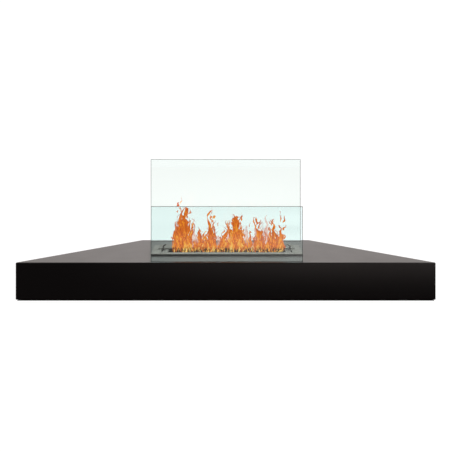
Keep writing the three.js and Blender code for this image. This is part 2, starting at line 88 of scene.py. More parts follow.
def to_linear(value):
    """One sRGB hex colour, such as 0x161415, as linear red, green, blue and alpha."""
    channels = [((value >> shift) & 255) / 255 for shift in (16, 8, 0)]
    curve = [c / 12.92 if c <= 0.04045 else ((c + 0.055) / 1.055) ** 2.4 for c in channels]
    return (*curve, 1.0)


def colour(name, description, value):
    return bpy.props.FloatVectorProperty(
        name=name,
        description=description,
        subtype="COLOR",
        size=4,
        min=0.0,
        max=1.0,
        default=to_linear(value),
    )


class FireplaceSizes(bpy.types.PropertyGroup):
    sheet_edge: length("Sheet edge", "Rounding that powder coat leaves on cut sheet edges", 0.35 * MM)
    steel_edge: length("Steel edge", "Deburred edge of bare stainless sheet", 0.4 * MM)
    glass_arris: length("Glass arris", "Ground edge of the panes", 1.1 * MM)
    rod_radius: length("Handle radius", "Radius of the shutter's bent handles", 2.0 * MM)
    rod_stand: length("Handle stand", "Straight part of a handle above the shutter", 3.0 * MM)
    rod_bend: length("Handle bend", "Centre-line radius of a handle's bend", 4.0 * MM)
    rod_tip: length("Handle tip", "Straight part of a handle after its bend", 7.2 * MM)
    foot_radius: length("Foot radius", "Radius of a handle's threaded foot", 1.5 * MM)
    rod_lean: bpy.props.FloatProperty(
        name="Handle lean",
        description="Angle that a handle's tip leans to the middle",
        default=math.radians(60),
        subtype="ANGLE",
    )


class FireplaceColours(bpy.types.PropertyGroup):
    powder: colour("Powder coat", "Satin black polyester powder coat", 0x0F0C0D)
    stainless: colour("Stainless", "Brushed stainless steel", 0x7C7771)
    tank: colour("Tank steel", "Dull stainless inside the burner", 0x8E8C88)
    galvanised: colour("Galvanised", "Hot-dip galvanised sheet", 0x9A9E9E)
    zinc: colour("Zinc plating", "Bright zinc plating of screws and nuts", 0xC6C8C6)
    silicone: colour("Silicone", "Black silicone strip", 0x1C1C1C)
    wool: colour("Ceramic wool", "White ceramic fibre mat", 0xE6E1D6)
    front_pane: colour("Front pane", "Pale blue-green tempered glass", 0xF0FEFE)
    rear_pane: colour("Rear pane", "Nearly clear tempered glass", 0xF8FFFC)
    pane_edge: colour("Pane edge", "Ground edge of the glass", 0x3C4E4A)
    flame_hot: colour("Flame, hot", "Pale yellow streaks at the foot of a flame", 0xFFD478)
    flame_foot: colour("Flame, foot", "Yellow orange lower part of a flame", 0xFFA430)
    flame_body: colour("Flame, body", "Orange middle of a flame", 0xF27A24)
    flame_deep: colour("Flame, deep", "Deep orange between the streaks", 0xD65E28)
    flame_edge: colour("Flame, edge", "Dull red edges and tips", 0x9C4428)
    # Painted shade: the colour of the dark slot showing between the flames' feet, painted into the flames.
    flame_painted_slot_shade: colour("Flame, gaps", "Dark gaps between the feet of the flames", 0x2A140C)
    flame_veil: colour("Flame veil", "Pink haze round the flames", 0xE79A8C)


# ---- Nodes and materials -----------------------------------------------------------------------


def add_node(tree, kind, settings=None, links=None):
    """Adds one shader node: settings by attribute or socket name, links as socket to output."""
    node = tree.nodes.new(kind)
    for key, value in (settings or {}).items():
        if isinstance(key, str) and hasattr(node, key):
            setattr(node, key, value)
        else:
            node.inputs[key].default_value = value
    for key, source in (links or {}).items():
        tree.links.new(source, node.inputs[key])
    return node


def new_material(name):
    material = bpy.data.materials.new(name)
    material.use_nodes = True
    material.node_tree.nodes.clear()
    return material, material.node_tree


def close_material(tree, shader):
    add_node(tree, "ShaderNodeOutputMaterial", links={"Surface": shader})


def object_pattern(tree, scale):
    """Object coordinates stretched by a scale for each axis."""
    coordinates = add_node(tree, "ShaderNodeTexCoord")
    return add_node(
        tree, "ShaderNodeMapping", {"Scale": scale}, {"Vector": coordinates.outputs["Object"]}
    ).outputs["Vector"]


def ramp(tree, source, stops):
    """A colour ramp over a 0 to 1 value, its stops given as (position, colour)."""
    node = add_node(tree, "ShaderNodeValToRGB", links={"Fac": source})
    elements = node.color_ramp.elements
    while len(elements) < len(stops):
        elements.new(0.5)
    for element, (position, value) in zip(elements, stops):
        element.position = position
        element.color = value
    return node.outputs["Color"]


def grey(level):
    return (level, level, level, 1.0)


def satin_powder_coat(colours):
    """Polyester powder coat, sprayed and baked: a deep black with a satin sheen, and a very fine
    orange peel that softens what it mirrors."""
    material, tree = new_material("satin_black_powder_coat")
    peel = add_node(
        tree,
        "ShaderNodeTexNoise",
        {"Scale": 1 / (1.4 * MM), "Detail": 2.0, "Roughness": 0.5},
        {"Vector": object_pattern(tree, (1, 1, 1))},
    )
    flow = add_node(
        tree,
        "ShaderNodeTexNoise",
        {"Scale": 1 / (60 * MM), "Detail": 3.0},
        {"Vector": object_pattern(tree, (1, 1, 1))},
    )
    bump = add_node(
        tree,
        "ShaderNodeBump",
        {"Strength": 0.10, "Distance": 0.05 * MM},
        {"Height": peel.outputs["Fac"]},
    )
    sheen = ramp(tree, flow.outputs["Fac"], [(0.3, grey(0.29)), (0.7, grey(0.32))])
    shader = add_node(
        tree,
        "ShaderNodeBsdfPrincipled",
        {
            "Base Color": colours.powder,
            "IOR": 1.46,
            "Specular Tint": (1.0, 0.94, 0.92, 1.0),
        },
        {"Roughness": sheen, "Normal": bump.outputs["Normal"]},
    )
    close_material(tree, shader.outputs["BSDF"])
    return material


def brushed_steel(name, base, roughness, grain_mm, along="x"):
    """Stainless sheet brushed with a belt: fine grain lines along one way, which stretch its
    highlights across the grain. The lines are drawn a few times coarser than real to show."""
    material, tree = new_material(name)
    stretch = {"x": (0.012, 1, 1), "y": (1, 0.012, 1), "z": (1, 1, 0.012)}[along]
    grain = add_node(
        tree,
        "ShaderNodeTexNoise",
        {"Scale": 1 / (grain_mm * MM), "Detail": 3.0, "Roughness": 0.6},
        {"Vector": object_pattern(tree, stretch)},
    )
    tone = ramp(
        tree,
        grain.outputs["Fac"],
        [(0.3, tuple(c * 0.78 for c in base[:3]) + (1,)), (0.7, tuple(base))],
    )
    gloss = ramp(
        tree, grain.outputs["Fac"], [(0.3, grey(roughness + 0.08)), (0.7, grey(roughness - 0.06))]
    )
    bump = add_node(
        tree,
        "ShaderNodeBump",
        {"Strength": 0.25, "Distance": 0.03 * MM},
        {"Height": grain.outputs["Fac"]},
    )
    shader = add_node(
        tree,
        "ShaderNodeBsdfPrincipled",
        {"Metallic": 1.0},
        {"Base Color": tone, "Roughness": gloss, "Normal": bump.outputs["Normal"]},
    )
    close_material(tree, shader.outputs["BSDF"])
    return material


def galvanised_sheet(colours):
    """Hot-dip galvanised steel: dull grey zinc with crystal spangles of slightly unlike greys."""
    material, tree = new_material("galvanised_sheet")
    spangle = add_node(
        tree,
        "ShaderNodeTexVoronoi",
        {"Scale": 1 / (7 * MM)},
        {"Vector": object_pattern(tree, (1, 1, 1))},
    )
    base = colours.galvanised
    tone = ramp(
        tree,
        spangle.outputs["Color"],
        [(0.2, tuple(c * 0.7 for c in base[:3]) + (1,)), (0.8, tuple(base))],
    )
    gloss = ramp(tree, spangle.outputs["Color"], [(0.0, grey(0.38)), (1.0, grey(0.52))])
    shader = add_node(
        tree,
        "ShaderNodeBsdfPrincipled",
        {"Metallic": 1.0},
        {"Base Color": tone, "Roughness": gloss},
    )
    close_material(tree, shader.outputs["BSDF"])
    return material


def zinc_plating(colours):
    """Electroplated zinc on screws and nuts: bright, with a slight uneven haze."""
    material, tree = new_material("zinc_plating")
    haze = add_node(
        tree,
        "ShaderNodeTexNoise",
        {"Scale": 1 / (2 * MM), "Detail": 2.0},
        {"Vector": object_pattern(tree, (1, 1, 1))},
    )
    gloss = ramp(tree, haze.outputs["Fac"], [(0.3, grey(0.25)), (0.7, grey(0.4))])
    shader = add_node(
        tree,
        "ShaderNodeBsdfPrincipled",
        {"Base Color": colours.zinc, "Metallic": 1.0},
        {"Roughness": gloss},
    )
    close_material(tree, shader.outputs["BSDF"])
    return material


def matt_silicone(colours):
    """Moulded silicone strip: black, matt, with a dusty bloom."""
    material, tree = new_material("black_silicone")
    bloom = add_node(
        tree,
        "ShaderNodeTexNoise",
        {"Scale": 1 / (5 * MM), "Detail": 3.0},
        {"Vector": object_pattern(tree, (1, 1, 1))},
    )
    tone = ramp(
        tree,
        bloom.outputs["Fac"],
        [(0.35, tuple(colours.silicone)), (0.8, tuple(c * 1.7 for c in colours.silicone[:3]) + (1,))],
    )
    shader = add_node(
        tree, "ShaderNodeBsdfPrincipled", {"Roughness": 0.7}, {"Base Color": tone}
    )
    close_material(tree, shader.outputs["BSDF"])
    return material


def ceramic_fibre(colours):
    """Blown ceramic fibre pressed to a mat: white, matt, with a short fibrous nap."""
    material, tree = new_material("ceramic_fibre_mat")
    fibre = add_node(
        tree,
        "ShaderNodeTexNoise",
        {"Scale": 1 / (1.5 * MM), "Detail": 4.0, "Distortion": 2.0},
        {"Vector": object_pattern(tree, (0.25, 1, 1))},
    )
    base = colours.wool
    tone = ramp(
        tree,
        fibre.outputs["Fac"],
        [(0.3, tuple(c * 0.75 for c in base[:3]) + (1,)), (0.65, tuple(base))],
    )
    bump = add_node(
        tree,
        "ShaderNodeBump",
        {"Strength": 0.6, "Distance": 0.4 * MM},
        {"Height": fibre.outputs["Fac"]},
    )
    shader = add_node(
        tree,
        "ShaderNodeBsdfPrincipled",
        {"Roughness": 0.95},
        {"Base Color": tone, "Normal": bump.outputs["Normal"]},
    )
    close_material(tree, shader.outputs["BSDF"])
    return material


def tempered_glass(name, tint):
    """Clear float glass, tempered: a faint green cast, hard smooth faces. Lamps shine through."""
    material, tree = new_material(name)
    shader = add_node(
        tree,
        "ShaderNodeBsdfPrincipled",
        {
            "Base Color": tint,
            "Roughness": 0.0,
            "IOR": 1.5,
            "Transmission Weight": 1.0,
        },
    )
    clear = add_node(tree, "ShaderNodeBsdfTransparent", {"Color": tint})
    path = add_node(tree, "ShaderNodeLightPath")
    mix = add_node(
        tree,
        "ShaderNodeMixShader",
        links={
            0: path.outputs["Is Shadow Ray"],
            1: shader.outputs["BSDF"],
            2: clear.outputs["BSDF"],
        },
    )
    close_material(tree, mix.outputs["Shader"])
    return material


def ground_glass(colours):
    """The pane's edge, ground with a fine belt: greyed green and satin."""
    material, tree = new_material("ground_glass_edge")
    grind = add_node(
        tree,
        "ShaderNodeTexNoise",
        {"Scale": 1 / (0.8 * MM), "Detail": 2.0},
        {"Vector": object_pattern(tree, (1, 1, 1))},
    )
    base = colours.pane_edge
    tone = ramp(
        tree,
        grind.outputs["Fac"],
        [(0.3, tuple(c * 0.8 for c in base[:3]) + (1,)), (0.7, tuple(base))],
    )
    shader = add_node(
        tree,
        "ShaderNodeBsdfPrincipled",
        {"Roughness": 0.35, "IOR": 1.5},
        {"Base Color": tone},
    )
    close_material(tree, shader.outputs["BSDF"])
    return material


def flame(name, opacity, stops, base, streak_mm):
    """Burning ethanol vapour: it gives light and casts none of its own shade. Its colour follows
    the heat written on each tongue, broken into long upright streaks. It thins out where it is
    coolest, at its tips and edges. At its foot, over the slot, it has painted shade: dark gaps in
    the streaks, which stand in for the dark slot seen between the flames' feet."""
    material, tree = new_material(name)
    heat = add_node(tree, "ShaderNodeAttribute", {"attribute_name": "tongue_heat"})
    streaks = add_node(
        tree,
        "ShaderNodeTexNoise",
        {"Scale": 1 / (streak_mm * MM), "Detail": 3.0, "Roughness": 0.55, "Distortion": 1.2},
        {"Vector": object_pattern(tree, (1, 1, 0.36))},
    )
    spread = add_node(
        tree,
        "ShaderNodeMapRange",
        {"From Min": 0.3, "From Max": 0.7, "To Min": -0.4, "To Max": 0.42},
        {"Value": streaks.outputs["Fac"]},
    )
    total = add_node(
        tree,
        "ShaderNodeMath",
        {"operation": "ADD", "use_clamp": True},
        {0: heat.outputs["Fac"], 1: spread.outputs["Result"]},
    )
    # Painted shade: within 19 mm of a tongue's foot, gaps in the streaks take the base colour, which for the
    # flames' body stands in for the dark slot seen between the flames' feet.
    painted_slot_shade = add_node(tree, "ShaderNodeAttribute", {"attribute_name": "tongue_painted_slot_shade"})
    gaps = add_node(
        tree,
        "ShaderNodeMapRange",
        {"From Min": 0.45, "From Max": 0.56, "To Min": 2.2, "To Max": 0.0},
        {"Value": streaks.outputs["Fac"]},
    )
    dark = add_node(
        tree,
        "ShaderNodeMath",
        {"operation": "MULTIPLY", "use_clamp": True},
        {0: painted_slot_shade.outputs["Fac"], 1: gaps.outputs["Result"]},
    )
    tone = add_node(
        tree,
        "ShaderNodeMix",
        {"data_type": "RGBA", 7: tuple(base)},
        {0: dark.outputs["Value"], 6: ramp(tree, total.outputs["Value"], stops)},
    )
    glow = add_node(tree, "ShaderNodeEmission", links={"Color": tone.outputs[2]})
    clear = add_node(tree, "ShaderNodeBsdfTransparent")
    thickness = add_node(
        tree,
        "ShaderNodeMapRange",
        {"From Min": 0.0, "From Max": 0.28, "To Min": 0.08 * opacity, "To Max": opacity},
        {"Value": total.outputs["Value"]},
    )
    mix = add_node(
        tree,
        "ShaderNodeMixShader",
        links={
            0: thickness.outputs["Result"],
            1: clear.outputs["BSDF"],
            2: glow.outputs["Emission"],
        },
    )
    close_material(tree, mix.outputs["Shader"])
    return material


# ---- Mesh helpers ------------------------------------------------------------------------------


def sharp_edges(bm, degrees=30):
    """The edges where two faces meet at more than an angle."""
    limit = math.radians(degrees)
    return [e for e in bm.edges if len(e.link_faces) == 2 and e.calc_face_angle(0) > limit]


def bevel_edges(bm, edges, offset, segments=2):
    bmesh.ops.bevel(
        bm,
        geom=edges,
        offset=offset,
        offset_type="OFFSET",
        segments=segments,
        profile=0.5,
        affect="EDGES",
        clamp_overlap=True,
        material=-1,
    )


def shade(piece, degrees=35):
    """Smooth faces with crisp edges, the wide faces kept flat up to their rounded edges."""
    mesh = piece.data
    mesh.polygons.foreach_set("use_smooth", [True] * len(mesh.polygons))
    mesh.set_sharp_from_angle(angle=math.radians(degrees))
    weighting = piece.modifiers.new("weighted_normals", "WEIGHTED_NORMAL")
    weighting.keep_sharp = True
    weighting.weight = 50


def new_piece(name, bm, body, materials, replaces=()):
    """Makes an object of a bmesh, with its finish, and hangs it on a body of the frame."""
    mesh = bpy.data.meshes.new(name)
    bm.to_mesh(mesh)
    bm.free()
    for material in materials:
        mesh.materials.append(material)
    piece = bpy.data.objects.new(name, mesh)
    bpy.context.scene.collection.objects.link(piece)
    shade(piece)
    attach(piece, body)
    if replaces:
        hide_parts(*replaces)
    return piece


def solid_copy(node):
    """A merged copy of a frame node's mesh, its flat faces joined again."""
    bm = bmesh.new()
    bm.from_mesh(NODES[node].data)
    bmesh.ops.remove_doubles(bm, verts=bm.verts, dist=0.002 * MM)
    bmesh.ops.dissolve_limit(
        bm,
        angle_limit=math.radians(0.5),
        verts=bm.verts,
        edges=bm.edges,
        delimit=set(),
    )
    return bm


def refined(node, body, material, edge, segments=2):
    """A frame node with its cut edges rounded."""
    bm = solid_copy(node)
    bevel_edges(bm, sharp_edges(bm), edge, segments)
    return new_piece(f"{node}_finished", bm, body, [material], [node])


def middle(node):
    low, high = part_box(node)
    return (low + high) / 2


# ---- Casing ------------------------------------------------------------------------------------


class FIREPLACE_OT_casing(bpy.types.Operator):
    """The powder-coated sheets: casing, wall sides, back side and base panel"""

    bl_idname = "fireplace.casing"
    bl_label = "Casing"

    def execute(self, context):
        sizes = context.scene.fireplace_sizes
        coat = satin_powder_coat(context.scene.fireplace_colours)
        for node in ("hearth_casing", "left_wall_side", "right_wall_side", "back_side", "base_panel"):
            refined(node, "hearth", coat, sizes.sheet_edge)
        return {"FINISHED"}


class FIREPLACE_OT_fixings(bpy.types.Operator):
    """Hanger plates, rails, screws and nuts inside the casing"""

    bl_idname = "fireplace.fixings"
    bl_label = "Fixings"

    def execute(self, context):
        colours = context.scene.fireplace_colours
        sheet = galvanised_sheet(colours)
        zinc = zinc_plating(colours)
        rubber = matt_silicone(colours)
        for node in NODES:
            if node.endswith(("_hanger", "_rail")):
                refined(node, "hearth", sheet, 0.2 * MM, 1)
            elif node.endswith("_gasket"):
                refined(node, "hearth", rubber, 0.2 * MM, 1)
            elif node.startswith(("base_screw", "clinch_nut")) or "_rail_nut_" in node:
                refined(node, "hearth", zinc, 0.15 * MM, 1)
        return {"FINISHED"}


# ---- Panes -------------------------------------------------------------------------------------


class FIREPLACE_OT_panes(bpy.types.Operator):
    """The two panes, clear on their faces and ground round their edges"""

    bl_idname = "fireplace.panes"
    bl_label = "Panes"

    def execute(self, context):
        colours = context.scene.fireplace_colours
        ground = ground_glass(colours)
        for side, tint in (("front", colours.front_pane), ("rear", colours.rear_pane)):
            clear = tempered_glass(f"{side}_tempered_float_glass", tint)
            self.pane(f"{side}_glass", f"{side}_pane", context, (clear, ground))
        return {"FINISHED"}

    def pane(self, node, body, context, materials):
        low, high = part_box(node)
        bm = bmesh.new()
        bmesh.ops.create_cube(bm, size=1.0)
        bmesh.ops.scale(bm, vec=high - low, verts=bm.verts)
        bmesh.ops.translate(bm, vec=(low + high) / 2, verts=bm.verts)
        bevel_edges(bm, bm.edges[:], context.scene.fireplace_sizes.glass_arris, 2)
        for face in bm.faces:
            face.material_index = 0 if abs(face.normal.y) > 0.999 else 1
        pane = new_piece(f"{node}_pane", bm, body, materials, [node])
        for polygon in pane.data.polygons:
            polygon.use_smooth = polygon.material_index == 1


# ---- Burner ------------------------------------------------------------------------------------


class FIREPLACE_OT_burner(bpy.types.Operator):
    """The cradle, the burner plate and the tank with its wool and screen"""

    bl_idname = "fireplace.burner"
    bl_label = "Burner"

    def execute(self, context):
        scene = context.scene
        colours, sizes = scene.fireplace_colours, scene.fireplace_sizes
        plate = brushed_steel("brushed_stainless_plate", colours.stainless, 0.4, 0.5)
        dull = brushed_steel("dull_stainless_tank", colours.tank, 0.42, 0.8)
        sheet = galvanised_sheet(colours)
        refined("burner_cradle", "hearth", sheet, sizes.steel_edge, 1)
        refined("burner_plate", "burner", plate, sizes.steel_edge)
        refined("fuel_tank", "burner", dull, sizes.steel_edge, 1)
        refined("wool_screen", "burner", dull, 0.1 * MM, 1)
        self.wool(ceramic_fibre(colours))
        return {"FINISHED"}

    def wool(self, material):
        """A pressed mat: its faces undulate a little inside the box that it fills."""
        low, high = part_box("ceramic_wool")
        inset = Vector((1, 1, 1)) * MM
        size = high - low - 2 * inset
        bm = bmesh.new()
        bmesh.ops.create_cube(bm, size=1.0)
        bmesh.ops.scale(bm, vec=size, verts=bm.verts)
        bmesh.ops.translate(bm, vec=(low + high) / 2, verts=bm.verts)
        cell = 6 * MM
        for axis in range(3):
            normal = Vector([1.0 if i == axis else 0.0 for i in range(3)])
            for step in range(1, int(size[axis] / cell)):
                at = low + inset + normal * step * cell
                bmesh.ops.bisect_plane(
                    bm, geom=bm.verts[:] + bm.edges[:] + bm.faces[:], plane_co=at, plane_no=normal
                )
        bm.normal_update()
        for vert in bm.verts:
            swell = noise.noise(vert.co / (11 * MM))
            vert.co += vert.normal * swell * 0.8 * MM
        new_piece("ceramic_wool_mat", bm, "burner", [material], ["ceramic_wool"])


class FIREPLACE_OT_shutter(bpy.types.Operator):
    """The sliding shutter with its two bent handles, washers and nuts"""

    bl_idname = "fireplace.shutter"
    bl_label = "Shutter"

    def execute(self, context):
        scene = context.scene
        colours, sizes = scene.fireplace_colours, scene.fireplace_sizes
        steel = brushed_steel("brushed_stainless_shutter", colours.stainless, 0.5, 0.5)
        rod = brushed_steel("drawn_stainless_rod", colours.stainless, 0.25, 0.6, "z")
        zinc = zinc_plating(colours)
        refined("shutter_plate", "shutter", steel, sizes.steel_edge)
        for side, inward in (("left", 1), ("right", -1)):
            self.handle(f"{side}_handle", inward, sizes, rod)
            for part in ("guide_washer", "guide_nut"):
                refined(f"{side}_{part}", "shutter", zinc, 0.15 * MM, 1)
        return {"FINISHED"}

    def handle(self, node, inward, sizes, material):
        """A rod drawn up from the shutter, spun round its bend and rounded at the tip."""
        low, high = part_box(node)
        foot_x = low.x + sizes.rod_radius if inward > 0 else high.x - sizes.rod_radius
        y = (low.y + high.y) / 2
        stand_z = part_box("shutter_plate")[1].z + 0.3 * MM
        bm = bmesh.new()
        rim = bmesh.ops.create_circle(bm, cap_ends=True, segments=20, radius=sizes.foot_radius)["verts"]
        bmesh.ops.translate(bm, vec=(foot_x, y, low.z), verts=rim)
        top = bm.faces[:]
        for rise, grow in ((stand_z - low.z, 1), (0, sizes.rod_radius / sizes.foot_radius)):
            top = self.lift(bm, top, Vector((0, 0, rise)), grow)
        top = self.lift(bm, top, Vector((0, 0, sizes.rod_stand)), 1)
        pivot = Vector((foot_x + inward * sizes.rod_bend, y, stand_z + sizes.rod_stand))
        spun = bmesh.ops.spin(
            bm,
            geom=top,
            cent=pivot,
            axis=(0, inward, 0),
            angle=sizes.rod_lean,
            steps=10,
            use_duplicate=False,
        )
        top = [item for item in spun["geom_last"] if isinstance(item, bmesh.types.BMFace)]
        lean = Vector((inward * math.sin(sizes.rod_lean), 0, math.cos(sizes.rod_lean)))
        top = self.lift(bm, top, lean * sizes.rod_tip, 1)
        end = top[0].edges[:]
        bevel_edges(bm, end, sizes.rod_radius * 0.55, 5)
        bmesh.ops.remove_doubles(bm, verts=bm.verts, dist=0.002 * MM)
        bmesh.ops.recalc_face_normals(bm, faces=bm.faces)
        new_piece(f"{node}_rod", bm, "shutter", [material], [node])

    def lift(self, bm, faces, offset, grow):
        """Extrudes a cap and scales it about its own middle."""
        made = bmesh.ops.extrude_face_region(bm, geom=faces)["geom"]
        caps = [item for item in made if isinstance(item, bmesh.types.BMFace)]
        bmesh.ops.delete(bm, geom=faces, context="FACES_ONLY")
        verts = list({v for cap in caps for v in cap.verts})
        bmesh.ops.translate(bm, vec=offset, verts=verts)
        centre = sum((v.co for v in verts), Vector()) / len(verts)
        bmesh.ops.scale(bm, vec=(grow, grow, 1), verts=verts, space=Matrix.Translation(-centre))
        return caps


# ---- Flames ------------------------------------------------------------------------------------

# Each tall flame in mm and degrees: foot x, tip x, height, width, hook of the tip
TALL_FLAMES = (
    (-130, -121, 126, 18, -90),
    (-120, -112, 124, 17, 60),
    (-114, -103, 118, 18, 130),
    (-124, -117, 108, 28, -40),
    (-116, -108, 104, 26, 50),
    (-128, -121, 84, 28, -60),
    (-110, -104, 76, 22, 60),
    (-137, -132, 90, 13, -120),
    (-142, -141, 74, 11, -110),
    (-143, -148, 42, 9, -120),
    (-74, -71, 62, 18, 100),
    (-62, -63, 34, 13, 30),
    (-50, -53, 68, 14, -80),
    (-41, -34, 116, 12, 120),
    (-42, -42, 70, 26, -20),
    (-34, -31, 62, 18, 60),
    (-8, 2, 80, 11, -70),
    (-14, -8, 42, 16, 60),
    (4, 7, 40, 12, 70),
    (22, 15, 103, 16, -110),
    (30, 24, 104, 20, -50),
    (34, 34, 103, 22, 60),
    (40, 43, 101, 17, 130),
    (31, 30, 94, 32, 0),
    (50, 48, 62, 14, 80),
    (66, 66, 53, 12, -100),
    (88, 84, 58, 13, -60),
    (96, 92, 98, 12, 120),
    (95, 94, 66, 22, -20),
    (106, 103, 50, 14, 40),
    (128, 131, 90, 13, -110),
    (127, 129, 62, 24, 10),
    (118, 116, 52, 13, -60),
    (149, 145, 76, 14, -50),
    (154, 158, 64, 14, 60),
    (160, 162, 38, 9, 60),
)
# Thin pink veils: foot x, tip x, height, width, hook
VEILS = (
    (-90, -91, 94, 12, 10),
    (-86, -89, 60, 18, 0),
    (-76, -80, 52, 22, 0),
    (-60, -62, 42, 20, 0),
    (-16, -18, 46, 26, 0),
    (6, 8, 72, 20, 30),
    (14, 12, 80, 18, 0),
    (58, 54, 72, 24, -20),
    (74, 72, 50, 22, 0),
    (84, 84, 74, 14, 0),
    (112, 116, 106, 14, 10),
    (104, 110, 70, 26, 0),
    (112, 112, 60, 26, 0),
)
# Shreds that have torn loose: x, height above the plate, length, width, hook
SHREDS = (
    (-133, 127, 12, 7, 60),
    (-127, 131, 22, 4.4, -160),
    (-22, 68, 15, 6, -60),
    (162, 80, 20, 5.4, -200),
    (154, 82, 18, 5, 180),
    (156, 98, 12, 2.6, 30),
    (-139, 106, 7, 4, 0),
    (-131, 114, 6, 4, 90),
    (49, 98, 11, 2.4, 60),
    (70, 66, 12, 2.6, 90),
)


class FIREPLACE_OT_flames(bpy.types.Operator):
    """Ethanol flames out of the slot"""

    bl_idname = "fireplace.flames"
    bl_label = "Flames"

    def execute(self, context):
        random.seed(11)
        colours = context.scene.fireplace_colours
        plate_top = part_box("burner_plate")[1].z
        self.foot_z = plate_top - 5 * MM
        shutter_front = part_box("shutter_plate")[0].y
        self.middle_y = shutter_front - 23 * MM
        body = flame(
            "burning_ethanol",
            0.96,
            [
                (0.0, tuple(colours.flame_edge)),
                (0.26, tuple(colours.flame_deep)),
                (0.5, tuple(colours.flame_body)),
                (0.76, tuple(colours.flame_foot)),
                (1.0, tuple(colours.flame_hot)),
            ],
            # the painted shade of the slot between the flames' feet
            colours.flame_painted_slot_shade,
            5,
        )
        haze = flame(
            "pink_flame_haze",
            0.42,
            [(0.2, tuple(colours.flame_veil)), (0.9, (1.0, 0.62, 0.5, 1.0))],
            colours.flame_veil,
            14,
        )
        tall, veils, low = bmesh.new(), bmesh.new(), bmesh.new()
        self.scratch = bpy.data.meshes.new("one_tongue")
        for row in TALL_FLAMES:
            self.tall_flame(tall, *row)
        for row in VEILS:
            self.tongue(veils, *row, y=random.uniform(6, 12), heat=0.6)
        for x, up, size, width, hook in SHREDS:
            y = random.uniform(-5, 5)
            self.tongue(tall, x, x, size, width, hook, y, random.uniform(0.2, 0.6), up + 5)
        self.low_flames(low)
        for name, bm, material in (
            ("tall_flames", tall, body),
            ("low_flames", low, body),
            ("flame_veils", veils, haze),
        ):
            self.finish(name, bm, material)
        bpy.data.meshes.remove(self.scratch)
        return {"FINISHED"}

    def tall_flame(self, bm, foot, tip, height, width, hook):
        """A main tongue with thinner licks beside it, which fray its outline."""
        y = random.uniform(-7, 7)
        self.tongue(bm, foot, tip, height, width, hook, y, random.uniform(0.45, 0.62))
        for _ in range(int(width / 1.7)):
            side = random.uniform(-0.55, 0.55) * width
            share = random.uniform(0.3, 0.92)
            self.tongue(
                bm,
                foot + side,
                foot + side * 1.1 + (tip - foot) * share + random.uniform(-4, 4),
                height * share,
                random.uniform(0.2, 0.42) * width,
                random.choice((-1, 1)) * random.uniform(30, 150),
                y + random.uniform(-8, 4),
                random.uniform(0.1, 0.85),
            )
        for _ in range(int(height / 7)):
            share, side = random.uniform(0.15, 0.97), random.choice((-1, 1))
            x = foot + (tip - foot) * share**1.3 + side * width * 0.42 * (1.05 - share) ** 0.5
            self.tongue(
                bm,
                x,
                x + side * random.uniform(-1, 6),
                random.uniform(7, 18),
                random.uniform(2.5, 6),
                side * random.uniform(-40, 190),
                y + random.uniform(-6, 3),
                random.uniform(0.15, 0.6),
                height * share,
            )

    def low_flames(self, bm):
        """The row of short licks along the slot, yellow at the foot."""
        x = -139.0
        while x < 161:
            for _ in range(2):
                foot = x + random.uniform(-3, 3)
                height = random.choice((11, 15, 20, 26, 36)) * random.uniform(0.8, 1.2)
                self.tongue(
                    bm,
                    foot,
                    foot + random.uniform(-5, 5),
                    height,
                    random.uniform(3, 7),
                    random.choice((-1, 1)) * random.uniform(10, 120),
                    random.uniform(-12, 9),
                    random.uniform(0.3, 1.0),
                )
            x += random.uniform(3.2, 6.5)

    def tongue(self, bm, foot, tip, height, width, hook, y, heat, lift=0.0):
        """One tongue of flame: a sphere's rings strung on a swaying spine, fullest a third of the
        way up and drawn out to a point that hooks over. Sizes are in mm, the hook in degrees."""
        rings = min(34, max(9, round(height / 3)))
        single = bmesh.new()
        layer = single.verts.layers.float.new("tongue_heat")
        painted_slot_shade = single.verts.layers.float.new("tongue_painted_slot_shade")
        bmesh.ops.create_uvsphere(single, u_segments=8, v_segments=rings, radius=1.0)
        phase, waves = random.uniform(0, math.tau), random.uniform(1.0, 1.9)
        sway = random.uniform(0.12, 0.3) * min(width, 15)
        ragged = Vector((random.uniform(0, 99), random.uniform(0, 99), 0))
        angle_end = math.radians(hook)
        spine, heading_x, rise = [], 0.0, 0.0
        for step in range(rings + 1):
            bend = angle_end * max(0.0, (step / rings - 0.72) / 0.28) ** 1.5
            spine.append((heading_x, rise))
            heading_x += math.sin(bend) / rings
            rise += math.cos(bend) / rings
        top_x, top_rise = spine[-1]
        for vert in single.verts:
            t = 1 - math.acos(max(-1.0, min(1.0, vert.co.z))) / math.pi
            along_x, along_z = spine[min(rings, max(0, round(t * rings)))]
            ring = math.sqrt(max(1e-9, vert.co.x**2 + vert.co.y**2))
            around = Vector((vert.co.x / ring, vert.co.y / ring)) if ring > 1e-4 else Vector((0, 0))
            belly = (0.28 + 0.72 * min(1.0, t / 0.28) ** 0.8) * (1 - t) ** 0.55
            fray = noise.noise(ragged + Vector((around.x * 0.7, around.y * 0.7, t * height / 8)))
            radius = width / 2 * belly * (1 + 0.55 * fray)
            wave = sway * math.sin(phase + math.tau * waves * t) * min(1.0, 2.5 * t)
            x = foot + (tip - foot - top_x * height) * t**1.3 + along_x * height + wave
            z = lift + along_z / max(0.4, top_rise) * height
            depth = y + wave * 0.5 * math.cos(phase)
            spot = Vector((x + around.x * radius, depth + around.y * radius * 0.55, z))
            loose = min(1.0, max(0.0, z - 5) / 30)
            for reach, swirl in ((17, 7), (7, 2.6)):
                spot += noise.noise_vector(spot / reach) * swirl * loose
            vert.co = spot * MM + Vector((0, self.middle_y, self.foot_z))
            edge = 0.2 * abs(around.x)
            vert[layer] = heat + 0.25 * (1 - t) ** 2 - 0.2 * t**2 - edge
            # How far the painted slot shade reaches: full at the foot, gone 19 mm up.
            vert[painted_slot_shade] = max(0.0, 1 - z / 19)
        self.scratch.clear_geometry()
        single.to_mesh(self.scratch)
        single.free()
        bm.from_mesh(self.scratch)

